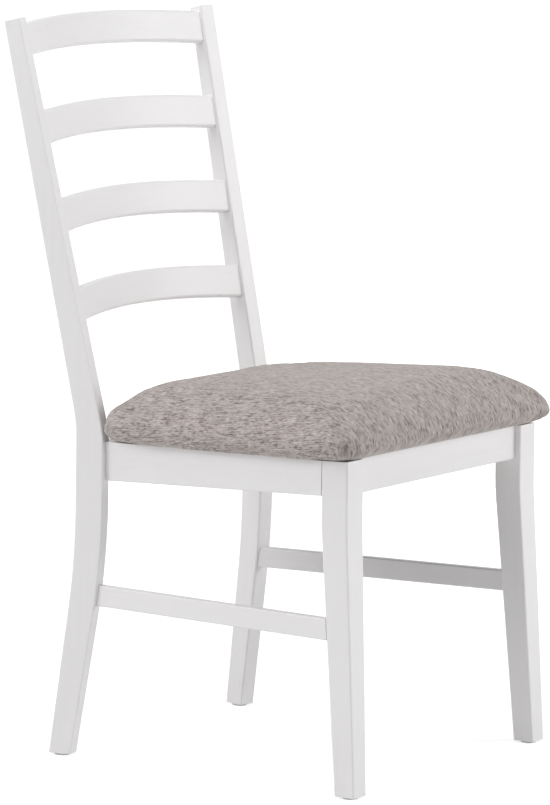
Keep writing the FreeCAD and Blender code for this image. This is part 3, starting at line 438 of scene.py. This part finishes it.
def smoothed(values, pairs, rounds):
    """Each vertex's value, averaged with its neighbours' over and over."""
    count = np.bincount(pairs.reshape(-1), minlength=len(values))[:, None]
    for _ in range(rounds):
        total = np.zeros_like(values)
        for axis in range(values.shape[1]):
            total[:, axis] = np.bincount(pairs[:, 0], values[pairs[:, 1], axis], len(values))
            total[:, axis] += np.bincount(pairs[:, 1], values[pairs[:, 0], axis], len(values))
        values = 0.5 * values + 0.5 * total / count
    return values


def eased(values, start, end):
    """0 at start and 1 at end, with a soft turn at both."""
    share = np.clip((values - start) / (end - start), 0.0, 1.0)
    return share * share * (3.0 - 2.0 * share)


BOARD_END = 0.02


def seat_plane():
    """Slope of the plane that the seat board lies on, and its level at the middle of the chair."""
    board = points_of(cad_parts["seat_board"].data)
    front = board[board[:, 1] < board[:, 1].min() + BOARD_END]
    back = board[board[:, 1] > board[:, 1].max() - BOARD_END]
    low_front = front[front[:, 2].argmin()]
    low_back = back[back[:, 2].argmin()]
    slope = (low_front[2] - low_back[2]) / (low_front[1] - low_back[1])
    return slope, low_back[2] - slope * low_back[1]


SEAT_SLOPE, SEAT_LEVEL = seat_plane()


def above_board(points):
    """Height over the plane that the seat board lies on."""
    return points[:, 2] - (points[:, 1] * SEAT_SLOPE + SEAT_LEVEL)


# Cushion body and its swelling

PAD_VOXEL = 0.005
PAD_RELAX = 0.5
PAD_RELAX_ROUNDS = 3
# How much smaller the body starts, how much fuller it ends, and how deep a crease may be
PAD_EASE = 0.0015
PAD_SWELL = 0.0008
PAD_CREASE = 0.0012
# The cover is stapled down up to this height over the seat plane, and comes free over the next stretch
STAPLED_HEIGHT = 0.006
FREE_OVER = 0.02
STUFFING_PRESSURE = 4.0
COVER_MASS = 0.3
COVER_BENDING = 0.4
SWELL_QUALITY = 5
SWELL_STEPS = 20
CREASE_ROUNDS = 60
CREASE_GAIN = 1.6


def pad_blank():
    """One closed body with the size and form of the covered seat, in even quads."""
    parts = [loose_copy(node) for node in ("seat_cover", "seat_foam", "seat_board")]
    only(parts[0])
    for part in parts:
        part.select_set(True)
    bpy.ops.object.join()
    blank = bpy.context.view_layer.objects.active
    blank.name = "seat_pad"
    blank.data.name = "seat_pad"
    blank.data.materials.clear()
    remesh = blank.modifiers.new("even_quads", "REMESH")
    remesh.mode = "VOXEL"
    remesh.voxel_size = PAD_VOXEL
    relax = blank.modifiers.new("relax", "SMOOTH")
    relax.factor = PAD_RELAX
    relax.iterations = PAD_RELAX_ROUNDS
    apply_all(blank)
    return blank


def swell(body):
    """The stuffing presses the cover outwards and leaves its small creases, within a few millimetres."""
    full = points_of(body.data)
    outward = normals_of(body.data)
    height = above_board(full)
    free = np.clip((height - STAPLED_HEIGHT) / FREE_OVER, 0.0, 1.0)
    start = full - outward * (PAD_EASE * free)[:, None]
    set_points(body.data, start)
    held = body.vertex_groups.new(name="held")
    held.add([int(i) for i in np.nonzero(height < STAPLED_HEIGHT)[0]], 1.0, "REPLACE")
    cloth = body.modifiers.new("cloth", "CLOTH")
    cloth.settings.quality = SWELL_QUALITY
    cloth.settings.mass = COVER_MASS
    cloth.settings.bending_stiffness = COVER_BENDING
    cloth.settings.use_pressure = True
    cloth.settings.uniform_pressure_force = STUFFING_PRESSURE
    cloth.settings.vertex_group_mass = "held"
    cloth.settings.effector_weights.gravity = 0.0
    for step in range(1, SWELL_STEPS + 1):
        bpy.context.scene.frame_set(step)
    apply_all(body)
    bpy.context.scene.frame_set(1)
    body.vertex_groups.clear()
    pushed = ((points_of(body.data) - start) * outward).sum(axis=1)[:, None]
    creased = pushed - smoothed(pushed, edges_of(body.data), CREASE_ROUNDS)
    creased = np.clip(creased * CREASE_GAIN, -PAD_CREASE, PAD_CREASE)
    set_points(body.data, full + outward * ((creased + PAD_SWELL) * free[:, None]))


# Cushion's settled form: wide is the distance from the chair's middle, along runs from the front
# (negative) to the back, and height is over the seat plane. A pair says where a change begins and
# where it is full, or, where it fades, where it begins to fade and where it is gone.

SHOULDER_RISE = 0.0044
SHOULDER_ALONG = (-0.11, -0.24)
SHOULDER_HEIGHT = (0.015, 0.048)
SHOULDER_WIDE = (0.06, 0.2)
CROWN_HEIGHT = (0.058, 0.08)
CROWN_SPARED = 0.55
BACK_SINK = 0.002
BACK_SINK_ALONG = (-0.1, 0.06)
BACK_SINK_HEIGHT = (0.03, 0.06)
LOW_EDGE = (0.004, 0.02)
CORNER_PUSH = 0.0028
CORNER_ALONG = (0.04, 0.1)
CORNER_WIDE = (0.15, 0.19)
CORNER_FADE = (0.035, 0.06)
BULGE_PUSH = 0.0022
BULGE_WIDE = (0.12, 0.22)
BULGE_HEIGHT = (0.004, 0.015)
BULGE_FADE = (0.03, 0.055)
# Between the posts the back edge lies on the back rail
RAIL_REACH = 0.018
RAIL_DROP = 0.005
POSTS_WIDE = (0.135, 0.168)
REACH_ALONG = (0.05, 0.112)
REACH_FADE = (0.02, 0.07)
DROP_FADE = (0.004, 0.03)
BACK_RAIL_START = 0.1275
RAIL_CLEARANCE = 0.0002
BACK_RAIL_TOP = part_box("back_rail")[1].z + RAIL_CLEARANCE
# The side rails' outer faces: where they start and end along, and how wide they stand there
SIDE_RAIL_ALONG = (-0.2347, 0.1272)
SIDE_RAIL_WIDE = (0.2335, 0.1935)
ROLL_DROP = 0.0042
ROLL_PROUD = (0.0005, 0.008)
ROLL_FACING = (-0.6, 0.1)
ROLL_FRONT = (-0.27, -0.2)
ROLL_BACK = (0.04, 0.11)
ROLL_FADE = (0.008, 0.03)
SETTLE_ROUNDS = 6


def settle(body):
    """Fuller front shoulders, sides and back corners, a back edge that reaches its rail between the
    posts, and a roll that hangs a little over the side rails."""
    points = points_of(body.data)
    facing = smoothed(normals_of(body.data), edges_of(body.data), SETTLE_ROUNDS)
    height = above_board(points)
    wide = np.abs(points[:, 0])
    side = np.sign(points[:, 0])
    shoulder = eased(points[:, 1], *SHOULDER_ALONG) * eased(height, *SHOULDER_HEIGHT)
    shoulder *= 1.0 - CROWN_SPARED * eased(height, *CROWN_HEIGHT)
    points[:, 2] += SHOULDER_RISE * shoulder * (0.5 + 0.5 * eased(wide, *SHOULDER_WIDE))
    points[:, 2] -= BACK_SINK * eased(points[:, 1], *BACK_SINK_ALONG) * eased(height, *BACK_SINK_HEIGHT)
    back_corner = eased(points[:, 1], *CORNER_ALONG) * eased(wide, *CORNER_WIDE) * eased(height, *LOW_EDGE)
    points[:, 0] += side * CORNER_PUSH * back_corner * (1.0 - eased(height, *CORNER_FADE))
    bulge = eased(wide, *BULGE_WIDE) * eased(height, *BULGE_HEIGHT) * (1.0 - eased(height, *BULGE_FADE))
    points[:, 0] += side * BULGE_PUSH * bulge
    between_posts = 1.0 - eased(wide, *POSTS_WIDE)
    over_rail = between_posts * eased(points[:, 1], *REACH_ALONG) * (1.0 - eased(height, *REACH_FADE))
    points[:, 1] += RAIL_REACH * over_rail
    points[:, 2] -= RAIL_DROP * over_rail * (1.0 - eased(height, *DROP_FADE))
    resting = np.maximum(points[:, 2], BACK_RAIL_TOP)
    points[:, 2] = np.where(points[:, 1] > BACK_RAIL_START, resting, points[:, 2])
    rail_face = np.interp(points[:, 1], SIDE_RAIL_ALONG, SIDE_RAIL_WIDE)
    proud = eased(wide - rail_face, *ROLL_PROUD) * eased(-facing[:, 2], *ROLL_FACING)
    beside = eased(points[:, 1], *ROLL_FRONT) * (1.0 - eased(points[:, 1], *ROLL_BACK))
    points[:, 2] -= ROLL_DROP * proud * beside * (1.0 - eased(height, *ROLL_FADE))
    set_points(body.data, points)


# Cover's folds: each is its direction round the corner in degrees, how high it reaches, and its depth.
# A corner is the middle of its rounding, across and along, with -1 for the front and 1 for the back.

FRONT_FOLDS = ((8.0, 0.022, 0.0040), (26.0, 0.036, 0.0066), (46.0, 0.022, 0.0044), (72.0, 0.028, 0.0028))
BACK_FOLDS = ((35.0, 0.022, 0.0020), (60.0, 0.03, 0.0022))
CORNERS = ((0.208, -0.258, -1.0, FRONT_FOLDS), (0.172, 0.094, 1.0, BACK_FOLDS))
CORNER_OVERLAP = 0.004
# Degrees that a fold leans for each metre that it climbs
FOLD_LEAN = 260.0
FOLD_WIDTH = 0.0026
# The cloth stands up in a lip beside each fold
LIP_SHARE = 0.45
LIP_AWAY = 0.0055
LIP_WIDTH = 0.0032
# Share of its reach over which a fold keeps its full depth
FOLD_FULL = 0.25
RIPPLE_DEPTH = 0.0004
RIPPLE_SLANT = 1.7
RIPPLE_LONG = 170.0
RIPPLE_SHORT = 263.0
RIPPLE_SHORT_START = 1.3
RIPPLE_SHORT_SHARE = 0.7
RIPPLE_FADE = (0.012, 0.032)
RIPPLE_START = (0.001, 0.006)
STEEP_SIDES = (0.3, 0.7)
GATHER_ROUNDS = 4
TINY = 1e-6


def gather(body):
    """The cover's spare cloth is folded in at each corner, and it ripples a little along the staples."""
    points = points_of(body.data)
    facing = smoothed(normals_of(body.data), edges_of(body.data), GATHER_ROUNDS)
    height = above_board(points)
    wide = np.abs(points[:, 0])
    depth = np.zeros(len(points))
    for across, along, end, folds in CORNERS:
        out_x = wide - across
        out_y = (points[:, 1] - along) * end
        angle = np.degrees(np.arctan2(out_y, np.maximum(out_x, TINY)))
        radius = np.hypot(out_x, out_y)
        here = (out_x > -CORNER_OVERLAP) & (out_y > -CORNER_OVERLAP)
        for turn, reach, cut in folds:
            leaning = turn + FOLD_LEAN * np.clip(height, 0.0, reach)
            gap = np.radians(angle - leaning) * radius
            lip = LIP_SHARE * np.exp(-(((gap - LIP_AWAY) / LIP_WIDTH) ** 2))
            fold = np.exp(-((gap / FOLD_WIDTH) ** 2)) - lip
            depth += np.where(here, cut * fold * (1.0 - eased(height, FOLD_FULL * reach, reach)), 0.0)
    round_edge = points[:, 0] + points[:, 1] * RIPPLE_SLANT
    ripple = np.sin(round_edge * RIPPLE_LONG)
    ripple += RIPPLE_SHORT_SHARE * np.sin(round_edge * RIPPLE_SHORT + RIPPLE_SHORT_START)
    low = (1.0 - eased(height, *RIPPLE_FADE)) * eased(height, *RIPPLE_START)
    depth += RIPPLE_DEPTH * ripple * low
    steep = eased(np.hypot(facing[:, 0], facing[:, 1]), *STEEP_SIDES)
    set_points(body.data, points - facing * (depth * steep)[:, None])


# Cloth's lie: how far down the sides each level is, measured along the cloth

LAY_ROUNDS = 12
LEVEL_COUNT = 60
LOWEST_LEVEL = 0.002
STEEP_ENOUGH = 0.25
POINTS_ENOUGH = 40
FLATTEST_LEAN = 10.0
UNDERCUT_LEAN = -1.5
SHARE_GAIN = 1.4


def lay_cloth(body):
    """Writes on each vertex its place on the flat cloth: threads run front to back over the seat."""
    mesh = body.data
    points = points_of(mesh)
    facing = smoothed(normals_of(mesh), edges_of(mesh), LAY_ROUNDS)
    facing /= np.linalg.norm(facing, axis=1)[:, None]
    height = above_board(points)
    steep = np.hypot(facing[:, 0], facing[:, 1])
    levels = np.linspace(height.max(), LOWEST_LEVEL, LEVEL_COUNT)
    drop = np.zeros(len(levels))
    lean = FLATTEST_LEAN
    for i in range(1, len(levels)):
        band = (height <= levels[i - 1]) & (height > levels[i]) & (steep > STEEP_ENOUGH)
        if band.sum() > POINTS_ENOUGH:
            lean = np.clip(np.median(facing[band, 2] / steep[band]), UNDERCUT_LEAN, FLATTEST_LEAN)
        rise = levels[i - 1] - levels[i]
        drop[i] = drop[i - 1] + rise * (np.sqrt(1.0 + lean ** 2) - lean)
    fallen = np.interp(-height, -levels, drop)
    sideways = facing[:, :2] / np.maximum(steep, TINY)[:, None]
    share = np.where(facing[:, 2] > 0.0, np.clip(steep * SHARE_GAIN, 0.0, 1.0), 1.0)
    laid = np.zeros((len(points), 3))
    laid[:, :2] = points[:, :2] + sideways * (fallen * share)[:, None]
    attribute = mesh.attributes.new("laid", "FLOAT_VECTOR", "POINT")
    attribute.data.foreach_set("vector", laid.reshape(-1))


pad = pad_blank()
swell(pad)
settle(pad)
lay_cloth(pad)
finer = pad.modifiers.new("finer", "SUBSURF")
finer.levels = 1
finer.render_levels = 1
apply_all(pad)
gather(pad)
pad.data.shade_smooth()
pad.data.materials.append(upholstery)
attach(pad, "root")
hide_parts("seat_cover", "seat_foam")


# Floor, white background and light

FLOOR_SIDE = 40.0
FLOOR_MOTTLE = 3.0
FLOOR_ROUGHNESS = 0.9
# The floor's own white grows from the first distance to the second, and near the chair it leaves
# room for the shadow
GLOW_NEAR = 0.7
GLOW_FAR = 2.4
GLOW_AT_CHAIR = 0.6
WHITE = (1.0, 1.0, 1.0, 1.0)
COOL_WHITE = (0.96, 0.97, 1.0, 1.0)
WORLD_LIGHT = 0.2


def background_rays(tree):
    """1 for the rays that show the background: the camera's, the mirrored and the passed through."""
    paths = tree.nodes.new("ShaderNodeLightPath")
    bounced = tree.nodes.new("ShaderNodeMath")
    bounced.operation = "MAXIMUM"
    tree.links.new(paths.outputs["Is Glossy Ray"], bounced.inputs[0])
    tree.links.new(paths.outputs["Is Transmission Ray"], bounced.inputs[1])
    seen = tree.nodes.new("ShaderNodeMath")
    seen.operation = "MAXIMUM"
    tree.links.new(paths.outputs["Is Camera Ray"], seen.inputs[0])
    tree.links.new(bounced.outputs["Value"], seen.inputs[1])
    return seen.outputs["Value"]


def pale_floor():
    """A plain pale floor that turns white away from the chair."""
    bpy.ops.mesh.primitive_plane_add(size=FLOOR_SIDE, location=(0.0, 0.0, 0.0))
    floor = bpy.context.object
    floor.name = "floor"
    made = Finish("pale_floor")
    place = made.place()
    mottled = made.noise(place, FLOOR_MOTTLE)
    made.colour(made.ramp(mottled, ((0.3, (0.86, 0.86, 0.86)), (0.7, (0.88, 0.88, 0.88)))))
    made.shader.inputs["Roughness"].default_value = FLOOR_ROUGHNESS
    distance = made.add("ShaderNodeVectorMath", operation="LENGTH")
    made.wire(place, distance.inputs[0])
    lift = made.add("ShaderNodeMapRange")
    lift.inputs["From Min"].default_value = GLOW_NEAR
    lift.inputs["From Max"].default_value = GLOW_FAR
    lift.inputs["To Min"].default_value = GLOW_AT_CHAIR
    lift.inputs["To Max"].default_value = 1.0
    made.wire(distance.outputs["Value"], lift.inputs["Value"])
    glow = made.reckon("MULTIPLY", background_rays(made.tree), lift.outputs["Result"])
    made.shader.inputs["Emission Color"].default_value = WHITE
    made.wire(glow, made.shader.inputs["Emission Strength"])
    floor.data.materials.append(made.material)


def studio_world():
    """Faint cool light from all round, while the background itself shows as white."""
    world = bpy.data.worlds.new("studio")
    bpy.context.scene.world = world
    world.use_nodes = True
    tree = world.node_tree
    tree.nodes.clear()
    lit = tree.nodes.new("ShaderNodeBackground")
    lit.inputs["Color"].default_value = COOL_WHITE
    lit.inputs["Strength"].default_value = WORLD_LIGHT
    shown = tree.nodes.new("ShaderNodeBackground")
    shown.inputs["Color"].default_value = WHITE
    shown.inputs["Strength"].default_value = 1.0
    either = tree.nodes.new("ShaderNodeMixShader")
    output = tree.nodes.new("ShaderNodeOutputWorld")
    tree.links.new(background_rays(tree), either.inputs["Fac"])
    tree.links.new(lit.outputs["Background"], either.inputs[1])
    tree.links.new(shown.outputs["Background"], either.inputs[2])
    tree.links.new(either.outputs["Shader"], output.inputs["Surface"])


def soft_light(name, place, aim, size, power):
    """A wide lamp at its place, aimed at a point, with its size in metres and its power in watts."""
    data = bpy.data.lights.new(name, "AREA")
    data.shape = "RECTANGLE"
    data.size, data.size_y = size
    data.energy = power
    light = bpy.data.objects.new(name, data)
    light.location = place
    light.rotation_euler = (Vector(aim) - Vector(place)).to_track_quat("-Z", "Y").to_euler()
    bpy.context.scene.collection.objects.link(light)


pale_floor()
studio_world()
soft_light("light_window", place=(-3.2, 1.8, 2.8), aim=(0.0, 0.1, 0.5), size=(2.6, 2.2), power=63.0)
soft_light("light_side", place=(-4.0, -0.6, 1.4), aim=(0.0, 0.0, 0.5), size=(2.4, 2.0), power=7.0)
soft_light("light_above", place=(-0.6, -0.2, 3.6), aim=(0.0, 0.0, 0.4), size=(3.0, 2.4), power=46.0)
soft_light("light_front", place=(2.4, -3.6, 1.6), aim=(0.0, 0.0, 0.6), size=(2.4, 2.0), power=80.0)
soft_light("light_behind", place=(-1.0, 3.8, 1.8), aim=(0.0, 0.0, 0.5), size=(2.6, 2.0), power=16.0)

scene = bpy.context.scene
scene.view_settings.view_transform = "Standard"
